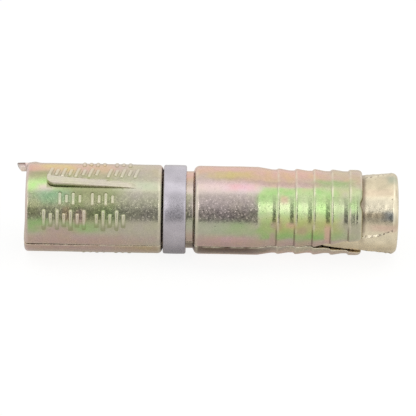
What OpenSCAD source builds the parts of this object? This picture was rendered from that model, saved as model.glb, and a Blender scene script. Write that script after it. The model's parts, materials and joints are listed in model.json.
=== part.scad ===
// Expansion shield for a 9.5 mm drilled hole and a 3/16 in machine screw.
// Two stamped half shells, a ring that holds them and a cone nut between their far ends.
// The axis lies along X with the screw end at -X. The shield rests on z = 0, on its ring
// and on the fin of the lower shell, which keeps it from rolling.

/* [Shells] */
// Outside diameter of the sleeve, a slip fit in the drilled hole
body_d = 9.3; // [9:0.05:9.4]
// Length of a shell along the axis
shell_len = 35.35; // [34.5:0.05:38]
// Thickness of the steel sheet
sheet_t = 0.5; // [0.4:0.05:0.55]
// Gap between the two shells at each seam
seam_gap = 0.2; // [0.1:0.02:0.3]
// Length of the smooth sleeve at the screw end
sleeve_len = 14; // [13.5:0.1:15]
// Rounding of the outer edge at the screw end
edge_round = 0.35; // [0.2:0.05:0.45]

/* [Ring groove] */
// Outside diameter at the bottom of the groove
neck_d = 8.08; // [7.9:0.02:8.2]
// Length of the flat bottom of the groove
neck_len = 3; // [2.8:0.05:3.5]
// Length of the slope at each side of the groove
shoulder_len = 0.5; // [0.35:0.05:0.7]

/* [Barbs] */
// Number of barbs round the cone end
barb_count = 5; // [3:1:6]
// Distance from one barb to the next
barb_pitch = 1.88; // [1.6:0.02:1.95]
// Outside diameter over the barbs
barb_d = 8.98; // [8.9:0.02:9.1]
// Height of the step at each barb
barb_h = 0.17; // [0.1:0.01:0.2]
// Distance from the last barb's step to the shell's end
barb_end = 1.48; // [1.3:0.02:1.8]
// Length of the taper from the smooth waist down to the barbs
waist_taper = 2.15; // [1.5:0.05:2.4]

/* [Fin] */
// Distance from the screw end to the fin's nose
fin_start = 2.35; // [1.5:0.05:3]
// Length of the lanced slit
fin_len = 9.5; // [8:0.1:10.5]
// Width of the fin at its nose
fin_w = 1.6; // [1.3:0.05:1.9]
// Height of the fin's lip above the sleeve at the nose
fin_lift = 0.6; // [0.4:0.02:0.7]
// Angle from the middle of the shell to the slit
fin_angle = -6; // [-10:0.5:4]

/* [End tab] */
// Length of the tab beyond the shell's end
tab_len = 1; // [0.6:0.05:1.5]
// Angle that the tab spans round the axis
tab_span = 30; // [20:1:40]
// Angle from the tab's edge to the seam
tab_inset = 5; // [3:0.5:12]

/* [Cone nut] */
// Half angle of the cone
cone_angle = 7; // [6:0.1:7.5]
// Length of cone that stands out of the shells
cone_out = 3.95; // [3.5:0.05:4.5]
// Length of cone inside the shells
cone_in = 8; // [7:0.1:9]
// Rounding of the rim at the wide end
rim_round = 0.8; // [0.5:0.05:1]
// Diameter of the bore, the tap drill of a No. 10-24 thread
bore_d = 3.8; // [3.6:0.02:3.9]
// Depth of the countersink at each end of the bore
sink_depth = 0.45; // [0.3:0.05:0.6]
// Radial clearance between the cone and the mouth of the shells
cone_clear = 0.06; // [0.05:0.01:0.12]

/* [Wings] */
// Length of the V-slot at each seam
slot_len = 5.15; // [4.5:0.05:5.8]
// Half angle of the V-slot and of the wing in it
slot_angle = 12.7; // [11:0.1:13]
// Clearance on each side of a centred wing
wing_clear = 0.17; // [0.15:0.01:0.25]
// Turn of the nut that brings its wings near the upper edge of the front slot
nut_turn = 1.6; // [0:0.1:1.6]

/* [Retaining ring] */
// Thickness of the ring's wall
ring_wall = 0.41; // [0.38:0.01:0.55]
// Width of the ring along the axis
ring_w = 2.4; // [2:0.05:2.5]
// Distance from the foot of the sleeve's shoulder to the ring
ring_side = 0.1; // [0.08:0.01:0.15]
// Rounding of the ring's edges
ring_round = 0.16; // [0.1:0.01:0.18]

/* [Working travel] */
// How far the screw draws the nut into the shells
draw_in = 2; // [1:0.1:2]
// How far each shell's mouth moves out for a millimetre of draw
spread_rate = 0.27; // [0.26:0.005:0.275]

/* [Hidden] */
$fn = 96;

// Small overlap that joins or cuts cleanly, and a length beyond every piece
eps = 0.01;
beyond = 60;

// Radii of the shells
body_r = body_d / 2;
bore_wall_r = body_r - sheet_t;
neck_r = neck_d / 2;
crest_r = barb_d / 2;
valley_r = crest_r - barb_h;
mouth_r = crest_r - sheet_t;
waist_r = body_r - 0.02;

// Places along the axis, from the screw end
neck_x0 = sleeve_len + shoulder_len;
neck_x1 = neck_x0 + neck_len;
waist_x0 = neck_x1 + shoulder_len;
barb_x0 = shell_len - barb_end - (barb_count - 1) * barb_pitch;
waist_x1 = barb_x0 - waist_taper;
slot_x0 = shell_len - slot_len;

// The steep face of a barb, and the rounding at the shell's mouth
barb_face = 0.12;
mouth_round_x = 0.55;
mouth_edge = 0.12;

// The sheet keeps its thickness through the slopes, so its inner bends lie further out
bend_shift = sheet_t * tan(atan2(body_r - neck_r, shoulder_len) / 2);

// The shells tilt about lines near the screw end as the nut is drawn in
seam_spare = 0.01;
spread = draw_in * spread_rate;
shut = seam_gap / 2 - seam_spare;
pivot_x = shell_len * shut / (spread + shut);
tilt = spread / (shell_len - pivot_x);

// The ring's bore leaves room for the tilt of the groove
ring_slack = 0.017;
ring_x0 = neck_x0 + ring_side;
ring_x1 = ring_x0 + ring_w;
ring_bore_r = neck_r + tilt * (ring_x1 - pivot_x) + ring_slack;
ring_r = ring_bore_r + ring_wall;
ring_edge = min(ring_round, 0.45 * ring_wall);

// Radii and places of the cone nut
cone_mouth_r = mouth_r - cone_clear;
nut_x0 = shell_len - cone_in;
nut_x1 = shell_len + cone_out;
cone_r0 = cone_mouth_r - cone_in * tan(cone_angle);
wing_r = cone_mouth_r + (cone_out - rim_round) * tan(cone_angle);
wing_x0 = slot_x0 + (wing_clear - seam_gap / 2) / tan(slot_angle);
wing_ramp = 1;
bore_r = bore_d / 2;

// The lifted fin: its hinge line starts above the slit at the nose and meets it at the end
fin_nose_r = 0.75;
fin_end_w = 0.15;
fin_heel = 0.35;
// How far the hinge line lies past the cut in the wall, and how far the fin reaches into
// the wall past its plan and past the slit's end
fin_bend = 0.05;
fin_root = 0.25;
fin_tail = 0.12;
fin_x1 = fin_start + fin_len;
hinge_x0 = fin_start + fin_heel;
hinge_a0 = fin_angle + asin((fin_w + fin_bend) / body_r);
hinge_a1 = fin_angle + asin((fin_end_w + fin_bend) / body_r);
fin_chord = 2 * body_r * sin((hinge_a0 - fin_angle) / 2);
// Radius of the lip and the turn about the hinge line that lifts it there
lip_r = body_r + fin_lift;
lip_rise = asin((lip_r * lip_r - body_r * body_r - fin_chord * fin_chord) / (2 * body_r * fin_chord));
fin_turn = lip_rise + (hinge_a0 - fin_angle) / 2;

// The shield rolls until the back of the lower fin is this far from the surface
rest_gap = 0.03;
roll = hinge_a0 + fin_turn / 2
    - asin(((ring_r - rest_gap) / body_r - 1) / (2 * sin(fin_turn / 2)));

// Middle of the whole length, tab included
mid_x = (nut_x1 - tab_len) / 2;

// Points of an arc about c, from angle a0 to a1
function arc(c, rx, ry, a0, a1, n) =
    [for (i = [0:n]) let (a = a0 + (a1 - a0) * i / n) [c[0] + rx * cos(a), c[1] + ry * sin(a)]];

// Points of a smooth slope from p to q, level at both ends
function slope(p, q, n = 8) =
    [for (i = [0:n]) let (t = i / n)
        [p[0] + (q[0] - p[0]) * t, p[1] + (q[1] - p[1]) * (1 - cos(180 * t)) / 2]];

// A point on a cylinder about X, at angle a from +Z towards +Y
function on_cylinder(x, r, a) = [x, r * sin(a), r * cos(a)];

// Outer line of a shell's wall, from the screw end to the mouth, as [x, r]
outer_line = concat(
    arc([edge_round, body_r - edge_round], edge_round, edge_round, 180, 90, 6),
    slope([sleeve_len, body_r], [neck_x0, neck_r]),
    slope([neck_x1, neck_r], [waist_x0, waist_r]),
    slope([waist_x1, waist_r], [barb_x0, valley_r]),
    [for (i = [0:barb_count - 1]) each [
        if (i > 0) [barb_x0 + i * barb_pitch, valley_r],
        [barb_x0 + i * barb_pitch + barb_face, crest_r]
    ]],
    arc([shell_len - mouth_round_x, mouth_r + mouth_edge],
        mouth_round_x, crest_r - mouth_r - mouth_edge, 90, 0, 6)
);

// Inner line, from the mouth back to the screw end
inner_line = concat(
    [[shell_len - mouth_edge, mouth_r]],
    slope([barb_x0, mouth_r], [waist_x1, waist_r - sheet_t]),
    slope([waist_x0 + bend_shift, waist_r - sheet_t], [neck_x1 + bend_shift, neck_r - sheet_t]),
    slope([neck_x0 - bend_shift, neck_r - sheet_t], [sleeve_len - bend_shift, bore_wall_r]),
    [[0, bore_wall_r]]
);

// Turns an outline of [x, r] points about the X axis
module turned(line) {
    rotate([0, 90, 0])
        rotate_extrude()
            polygon([for (p = line) [p[1], p[0]]]);
}

// Sheet of the sleeve's radius and thickness, long enough for the fin
module sleeve_sheet() {
    turned([[0, bore_wall_r], [0, body_r], [sleeve_len, body_r], [sleeve_len, bore_wall_r]]);
}

// Plan of the lanced fin: x along the slit and y from the slit to the hinge line
module fin_plan(root, tail) {
    nose = [fin_start + fin_nose_r, fin_nose_r];
    polygon(concat(
        [[fin_x1 + tail, fin_end_w + root], [fin_x1 + tail, 0]],
        arc(nose, fin_nose_r, fin_nose_r, 270, 180, 6),
        [[fin_start, fin_w - fin_heel], [hinge_x0, fin_w], [hinge_x0, fin_w + root]]
    ));
}

// Prism through the wall over the fin's plan
module fin_prism(root = 0, tail = 0) {
    rotate([-fin_angle, 0, 0])
        translate([0, 0, body_r / 2])
            linear_extrude(body_r)
                fin_plan(root, tail);
}

// The fin, cut from the sheet and turned out about its hinge line
module fin() {
    h0 = on_cylinder(hinge_x0, body_r, hinge_a0);
    h1 = on_cylinder(fin_x1, body_r, hinge_a1);
    translate(h0)
        rotate(-fin_turn, h1 - h0)
            translate(-h0)
                intersection() {
                    sleeve_sheet();
                    fin_prism(fin_root, fin_tail);
                }
}

// The sheared tab at the screw end of one shell, with a slanted tip
module end_tab() {
    tab_a = 90 - tab_inset - tab_span;
    root_x = edge_round + eps;
    tip_slant = 38;
    intersection() {
        turned([[-tab_len, bore_wall_r], [-tab_len, body_r], [root_x, body_r], [root_x, bore_wall_r]]);
        rotate([-tab_a, 0, 0])
            translate([-beyond / 2, 0, 0])
                cube([beyond, beyond, beyond]);
        rotate([-tab_a - tab_span, 0, 0])
            translate([-beyond / 2, -beyond, 0])
                cube([beyond, beyond, beyond]);
        rotate([-tab_a - tab_span / 2, 0, 0])
            translate([-tab_len, -beyond / 2, body_r])
                rotate([0, -tip_slant, 0])
                    translate([0, 0, -beyond / 2])
                        cube([beyond, beyond, beyond]);
    }
}

// Half shell on the +Z side of the seam plane
module half_shell() {
    difference() {
        turned(concat(outer_line, inner_line));
        // Everything past the seams
        translate([-beyond / 2, -beyond / 2, seam_gap / 2 - beyond])
            cube([2 * beyond, beyond, beyond]);
        // V-slots for the nut's wings
        translate([0, beyond / 2, 0])
            rotate([90, 0, 0])
                linear_extrude(beyond)
                    polygon([
                        [slot_x0, 0],
                        [slot_x0, seam_gap / 2],
                        [shell_len + 1, seam_gap / 2 + (slot_len + 1) * tan(slot_angle)],
                        [shell_len + 1, 0]
                    ]);
        fin_prism();
    }
    fin();
}

// Lays a piece along X on the surface, turned to rest on the lower fin
module laid(turn = 0) {
    translate([-mid_x, 0, ring_r])
        rotate([roll + turn, 0, 0])
            children();
}

module front_shell() {
    color("darkkhaki")
        laid() {
            half_shell();
            end_tab();
        }
}

module back_shell() {
    color("burlywood")
        laid(180)
            half_shell();
}

module retaining_ring() {
    c = ring_edge;
    color("slategray")
        laid()
            turned(concat(
                arc([ring_x0 + c, ring_bore_r + c], c, c, 270, 180, 4),
                arc([ring_x0 + c, ring_r - c], c, c, 180, 90, 4),
                arc([ring_x1 - c, ring_r - c], c, c, 90, 0, 4),
                arc([ring_x1 - c, ring_bore_r + c], c, c, 0, -90, 4)
            ));
}

// Solid of the nut's rim, from a line at radius r0 at x0 to the rounded wide end
module nut_body(x0, r0, x1, r1) {
    turned(concat(
        [[x0, 0], [x0, r0], [x1, r1]],
        arc([nut_x1 - rim_round, wing_r - rim_round], rim_round, rim_round, 90, 0, 8),
        [[nut_x1, 0]]
    ));
}

module cone_nut() {
    color("wheat")
        laid(-nut_turn)
            difference() {
                union() {
                    nut_body(nut_x0, cone_r0, shell_len, cone_mouth_r);
                    // Wings: a wedge across the nut, held to the width of the rim
                    intersection() {
                        nut_body(wing_x0, wing_r - wing_ramp / 2, wing_x0 + wing_ramp, wing_r);
                        translate([0, beyond / 2, 0])
                            rotate([90, 0, 0])
                                linear_extrude(beyond)
                                    polygon([
                                        [wing_x0, 0],
                                        [nut_x1 + 1, (nut_x1 + 1 - wing_x0) * tan(slot_angle)],
                                        [nut_x1 + 1, -(nut_x1 + 1 - wing_x0) * tan(slot_angle)]
                                    ]);
                    }
                }
                // Bore with a countersink at each end
                turned([
                    [nut_x0 - eps, 0],
                    [nut_x0 - eps, bore_r + sink_depth + eps],
                    [nut_x0 + sink_depth, bore_r],
                    [nut_x1 - sink_depth, bore_r],
                    [nut_x1 + eps, bore_r + sink_depth + eps],
                    [nut_x1 + eps, 0]
                ]);
            }
}

front_shell();
back_shell();
retaining_ring();
cone_nut();
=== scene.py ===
"""Visual model of a steel expansion shield lying on a pale floor.

Two stamped and zinc-plated half shells, a moulded ring in their groove and a cast cone nut
between their far ends. Sizes are in millimetres in the shield's own coordinates: x runs along
the axis from the screw end, and an angle is measured round the axis from the middle of a shell.
Layout turns them into metres in the frame.
"""

import json
import logging
import math
from dataclasses import dataclass
from enum import Enum

import bpy
import numpy as np
from mathutils import Matrix, Quaternion, Vector


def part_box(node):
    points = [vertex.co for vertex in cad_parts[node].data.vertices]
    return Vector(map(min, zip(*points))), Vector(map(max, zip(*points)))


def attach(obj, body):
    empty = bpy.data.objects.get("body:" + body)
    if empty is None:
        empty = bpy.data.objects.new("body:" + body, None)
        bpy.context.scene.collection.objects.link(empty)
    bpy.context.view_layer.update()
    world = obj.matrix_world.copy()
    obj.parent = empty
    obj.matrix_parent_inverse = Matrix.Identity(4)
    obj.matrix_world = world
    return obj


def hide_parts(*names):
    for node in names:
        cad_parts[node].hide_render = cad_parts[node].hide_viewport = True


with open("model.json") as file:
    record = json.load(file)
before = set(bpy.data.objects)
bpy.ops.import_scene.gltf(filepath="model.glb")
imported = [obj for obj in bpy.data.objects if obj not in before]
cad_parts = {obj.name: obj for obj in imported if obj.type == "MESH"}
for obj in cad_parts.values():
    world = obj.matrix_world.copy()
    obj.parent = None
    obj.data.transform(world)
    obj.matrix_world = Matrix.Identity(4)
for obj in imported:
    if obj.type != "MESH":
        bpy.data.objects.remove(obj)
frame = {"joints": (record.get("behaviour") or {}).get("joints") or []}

LOG = logging.getLogger("shield")
MM = 0.001
SHARP_FROM = 40.0

Socket = bpy.types.NodeSocket
Tree = bpy.types.NodeTree
Piece = bpy.types.Object


def linear(code: str) -> tuple[float, float, float, float]:
    """Turns an sRGB hex colour such as "#C8B27C" into linear RGBA."""
    parts = [int(code[i:i + 2], 16) / 255 for i in (1, 3, 5)]
    return (*[p / 12.92 if p <= 0.04045 else ((p + 0.055) / 1.055) ** 2.4 for p in parts], 1.0)


def add_node(tree: Tree, kind: str, inputs: dict | tuple = (), **settings: object) -> bpy.types.NodeOutputs:
    """Adds a node with its settings, values and links.

    Args:
        tree: node tree that gets the node.
        kind: Blender's type name of the node.
        inputs: value or socket for each input, by name or index, or else in order.
        settings: attributes of the node itself.

    Returns:
        The outputs of the new node.
    """
    node = tree.nodes.new(kind)
    for name, value in settings.items():
        setattr(node, name, value)
    for key, value in inputs.items() if isinstance(inputs, dict) else enumerate(inputs):
        if isinstance(value, Socket):
            tree.links.new(value, node.inputs[key])
        else:
            node.inputs[key].default_value = value
    return node.outputs


def pick(known: dict[str, Socket], terms: tuple | list) -> tuple:
    """Inputs of a node, with the socket in place of each name."""
    return tuple(known[term] if isinstance(term, str) else term for term in terms)


def add_rows(tree: Tree, kind: str, setting: str, known: dict[str, Socket], rows: tuple) -> None:
    """Adds one node for each row and keeps its first output under the row's name.

    Args:
        tree: node tree that gets the nodes.
        kind: Blender's type name of the nodes.
        setting: attribute whose value each row gives.
        known: sockets by name, for the rows to use and add to.
        rows: name, value of the setting, then numbers or names of sockets for the inputs.
    """
    for name, value, *terms in rows:
        known[name] = add_node(tree, kind, pick(known, terms), **{setting: value})[0]


def open_group(name: str, floats: tuple, ints: tuple = ()) -> tuple[Tree, dict[str, Socket]]:
    """Starts a Geometry Nodes tree.

    Args:
        name: name of the tree.
        floats: names of its inputs for sizes, angles and shares.
        ints: names of its inputs for counts.

    Returns:
        The tree, and the socket of each input by name.
    """
    tree = bpy.data.node_groups.new(name, "GeometryNodeTree")
    tree.interface.new_socket(name="Geometry", in_out="OUTPUT", socket_type="NodeSocketGeometry")
    for kind, labels in (("Float", floats), ("Int", ints), ("Material", ("Material",))):
        for label in labels:
            tree.interface.new_socket(name=label, in_out="INPUT", socket_type=f"NodeSocket{kind}")
    return tree, {socket.name: socket for socket in add_node(tree, "NodeGroupInput") if socket.name}


def close_group(tree: Tree, geometry: Socket, material: Socket) -> None:
    """Ends a tree with its instances made real and its material set.

    Args:
        tree: node tree from open_group().
        geometry: what the tree made.
        material: material that it is given.
    """
    real = add_node(tree, "GeometryNodeRealizeInstances", (geometry,))[0]
    dressed = add_node(tree, "GeometryNodeSetMaterial", {"Geometry": real, "Material": material})[0]
    add_node(tree, "NodeGroupOutput", (dressed,))


def smooth_step(values: np.ndarray | float) -> np.ndarray:
    """Smooth 0 to 1 step over the unit interval."""
    t = np.clip(values, 0.0, 1.0)
    return t * t * (3 - 2 * t)


def bell(off: np.ndarray | float) -> np.ndarray:
    """Bell curve, 1 at zero and about a third at one."""
    return np.exp(-off ** 2)


def ripple(x: np.ndarray | float, y: np.ndarray, size: float, seed: int) -> np.ndarray:
    """Smooth waves in many directions, for the unevenness of pressed and cast metal.

    Args:
        x: first coordinate of each point.
        y: second coordinate of each point.
        size: typical width of a wave, in the same unit.
        seed: fixed seed for the directions and phases.

    Returns:
        A height from about -1 to 1 for each point.
    """
    rng = np.random.default_rng(seed)
    total = np.zeros(np.broadcast(x, y).shape)
    for _ in range(9):
        way, phase, scale = rng.uniform(0, 2 * math.pi, 3)
        pace = 2 * math.pi / size * (0.6 + 0.15 * scale)
        total += np.sin(pace * (x * math.cos(way) + y * math.sin(way)) + phase)
    return total / 4.5


def mesh_points(piece: Piece) -> np.ndarray:
    """Reads a piece's vertices.

    Args:
        piece: any mesh object.

    Returns:
        Rows of x, y, z in metres.
    """
    flat = np.empty(len(piece.data.vertices) * 3)
    piece.data.vertices.foreach_get("co", flat)
    return flat.reshape(-1, 3)


@dataclass
class Surface:
    """Points and faces of a mesh that is being put together."""

    points: np.ndarray
    faces: list[tuple[int, ...]]

    @classmethod
    def of(cls, piece: Piece) -> "Surface":
        """Surface of a piece's mesh."""
        return cls(mesh_points(piece), [tuple(p.vertices) for p in piece.data.polygons])

    def joined(self, other: "Surface") -> "Surface":
        """Puts two surfaces together.

        Args:
            other: surface to add.

        Returns:
            Both as one.
        """
        shift = len(self.points)
        faces = self.faces + [tuple(i + shift for i in face) for face in other.faces]
        return Surface(np.vstack([self.points, other.points]), faces)

    def mesh(self, name: str) -> bpy.types.Mesh:
        """Turns the surface into a mesh.

        Args:
            name: name of the mesh.

        Returns:
            The mesh.
        """
        mesh = bpy.data.meshes.new(name)
        mesh.from_pydata(self.points.tolist(), [], self.faces)
        return mesh


def grid_faces(rows: int, length: int, closed: bool) -> list[tuple[int, int, int, int]]:
    """Faces between rows of points, where each row closes on itself.

    Args:
        rows: number of rows.
        length: number of points in a row.
        closed: whether the last row joins the first.

    Returns:
        Four point numbers for each face.
    """
    faces = []
    for i in range(rows if closed else rows - 1):
        a, b = i * length, (i + 1) % rows * length
        faces += [(a + j, b + j, b + (j + 1) % length, a + (j + 1) % length) for j in range(length)]
    return faces


def sheet_faces(rows: int, length: int) -> list[tuple[int, int, int, int]]:
    """Faces between rows of points, where each row is open at its ends.

    Args:
        rows: number of rows.
        length: number of points in a row.

    Returns:
        Four point numbers for each face.
    """
    # The last face of a row would close it, so it is left out
    closing = enumerate(grid_faces(rows, length, False), 1)
    return [(a, b, c, d) for k, (a, d, c, b) in closing if k % length]


def slab(top: np.ndarray, bottom: np.ndarray) -> Surface:
    """Closes two grids into one slab with walls all round.

    Args:
        top: rows of x, y, z points.
        bottom: as many points for the other side.

    Returns:
        The slab.
    """
    n, m = top.shape[:2]
    size = n * m
    faces = []
    for a, b, c, d in sheet_faces(n, m):
        faces += [(a, b, c, d), (size + a, size + d, size + c, size + b)]
    line = [*range(m), *range(2 * m - 1, size, m), *range(size - 2, size - m - 1, -1)]
    line += [*range(size - 2 * m, 0, -m)]
    faces += [(b, a, size + a, size + b) for a, b in zip(line, line[1:] + line[:1])]
    return Surface(np.vstack([top.reshape(-1, 3), bottom.reshape(-1, 3)]), faces)


@dataclass(frozen=True)
class Places:
    """Points in the shield's coordinates: x and radius in mm, angle in degrees."""

    x: np.ndarray
    angle: np.ndarray
    radius: np.ndarray


@dataclass(frozen=True)
class Layout:
    """Place of the shield in the frame in mm, and the front shell's turn about it in degrees."""

    mid_x: float
    axis_z: float
    roll: float

    @classmethod
    def from_frame(cls, shell_len: float) -> "Layout":
        """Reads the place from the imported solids.

        Args:
            shell_len: length of a shell from the screw end to the mouth, in mm.

        Returns:
            The layout.
        """
        ring_low, ring_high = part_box("retaining_ring")
        axis = next(j["axis"] for j in frame["joints"] if j["name"] == "front_spread")
        return cls(
            mid_x=shell_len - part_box("front_shell")[1].x / MM,
            axis_z=(ring_low.z + ring_high.z) / 2 / MM,
            roll=math.degrees(math.atan2(-axis[2], -axis[1])),
        )

    def place(self, surface: Surface, turn: float = 0.0) -> Surface:
        """Moves a surface from the shield's coordinates into the frame.

        Args:
            surface: surface in mm, with the shell's middle on +z.
            turn: further turn about the axis, in degrees.

        Returns:
            The surface in metres.
        """
        a = math.radians(self.roll + turn)
        x, y, z = surface.points.T
        across = y * math.cos(a) - z * math.sin(a)
        up = y * math.sin(a) + z * math.cos(a) + self.axis_z
        return Surface(np.column_stack([x - self.mid_x, across, up]) * MM, surface.faces)

    def read(self, piece: Piece, turn: float = 0.0) -> Places:
        """Finds the places of a piece's points.

        Args:
            piece: piece whose mesh lies in the frame.
            turn: turn that place() was given, in degrees.

        Returns:
            The points in the shield's coordinates.
        """
        x, y, z = mesh_points(piece).T / MM
        angle = np.degrees(np.arctan2(y, z - self.axis_z)) + self.roll + turn
        return Places(x + self.mid_x, (angle + 180) % 360 - 180, np.hypot(y, z - self.axis_z))


def link_object(name: str, data: bpy.types.ID) -> Piece:
    """Puts a new object into the scene.

    Args:
        name: name of the object.
        data: its mesh, light or camera.

    Returns:
        The object.
    """
    piece = bpy.data.objects.new(name, data)
    bpy.context.scene.collection.objects.link(piece)
    return piece


def bake_modifiers(piece: Piece) -> None:
    """Turns a piece and its modifiers into one plain mesh.

    Args:
        piece: the piece, which keeps no modifier.
    """
    graph = bpy.context.evaluated_depsgraph_get()
    mesh = bpy.data.meshes.new_from_object(piece.evaluated_get(graph))
    mesh.name = piece.name
    piece.modifiers.clear()
    piece.data = mesh


def take_surface(piece: Piece) -> Surface:
    """Takes the surface of a helper object, which leaves the scene.

    Args:
        piece: the helper object with its modifiers.

    Returns:
        The surface that they make.
    """
    bake_modifiers(piece)
    surface = Surface.of(piece)
    bpy.data.objects.remove(piece)
    return surface


def grow(name: str, tree: Tree, values: dict[str, object]) -> Piece:
    """Makes an object whose mesh comes from a node tree.

    Args:
        name: name of the object.
        tree: node tree from open_group().
        values: value of each of its inputs, by name.

    Returns:
        The object, with the tree as a modifier.
    """
    piece = link_object(name, bpy.data.meshes.new(name))
    modifier = piece.modifiers.new(tree.name, "NODES")
    modifier.node_group = tree
    for socket in tree.interface.items_tree:
        if socket.in_out == "INPUT":
            modifier[socket.identifier] = values[socket.name]
    return piece


def write_attribute(piece: Piece, name: str, values: np.ndarray) -> None:
    """Stores one number or one colour per vertex for a material to read.

    Args:
        piece: piece that gets the attribute.
        name: name of the attribute.
        values: a number for each vertex, or a row of RGBA.
    """
    kind, field_name = ("FLOAT", "value") if values.ndim == 1 else ("FLOAT_COLOR", "color")
    layer = piece.data.attributes.new(name, kind, "POINT")
    layer.data.foreach_set(field_name, np.ascontiguousarray(values, dtype=np.float32).ravel())


def finish_mesh(piece: Piece, material: bpy.types.Material) -> None:
    """Shades a piece smooth except at sharp edges and gives it its material.

    Args:
        piece: finished piece.
        material: its material.
    """
    piece.data.shade_smooth()
    piece.data.set_sharp_from_angle(angle=math.radians(SHARP_FROM))
    piece.data.materials.clear()
    piece.data.materials.append(material)


class Half(Enum):
    """The two shells, with the turn of each about the axis in degrees."""

    FRONT = 0.0
    BACK = 180.0


class Tint(Enum):
    """Interference colours of a thin chromate film on zinc, and the colours of painted shade and highlights.
    """

    STEEL = "#8D979B"
    GREY_PINK = "#C8BAB4"
    MAUVE = "#C4A9A0"
    BEIGE = "#C0BBA9"
    SAND = "#CDBCA4"
    TAN = "#BFA986"
    CHAMPAGNE = "#DACDB0"
    PEARL = "#E2D9C6"
    CHALK = "#F0E6CC"
    STRAW = "#D2C488"
    OLIVE = "#979A74"
    MOSS = "#A9AF80"
    LIME = "#B7D492"
    GREEN = "#A3C084"
    TEAL = "#98BC94"
    SAGE = "#B9BDA6"
    PALE_LIME = "#C9D8A8"
    PALE_PINK = "#D4BEBA"
    BLUSH = "#F2DFD2"
    ROSE = "#D6AFB6"
    PINK = "#DDB0A6"
    PEACH = "#E0B8A2"
    AMBER = "#E2C696"
    UMBER = "#6B5648"


@dataclass(frozen=True)
class FilmSpot:
    """A soft-edged place where the plating film has another thickness, or where shade or a highlight is
    painted.

    Attributes:
        x: middle along the axis, in mm.
        angle: middle round the axis, in degrees.
        half_x: half its length, in mm.
        half_angle: half its width, in degrees.
        tint: colour of the film there.
        amount: how fully it covers what is under it.
        edge: how crisp its edge is, from 1 for a soft one.
        corner: how square it is, from 1 for an ellipse.
    """

    x: float
    angle: float
    half_x: float
    half_angle: float
    tint: Tint
    amount: float = 0.9
    edge: float = 1.6
    corner: float = 2.0

    def cover(self, at: Places) -> np.ndarray:
        """Share of the spot at each point, flat in the middle and soft at the edge.

        Args:
            at: points of a plated piece.

        Returns:
            The share, from 0 to the spot's amount.
        """
        wander = ripple(at.x * 2.6, at.angle / 4.5, 4.0, int(self.x * 10) % 97)
        along = np.abs((at.x - self.x) / self.half_x) ** (2 * self.corner)
        around = np.abs((at.angle - self.angle) / self.half_angle) ** (2 * self.corner)
        far = (along + around) ** (1 / self.corner)
        return self.amount * np.exp(-0.7 * (far * (1 + 0.44 / self.corner * wander)) ** self.edge)


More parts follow.
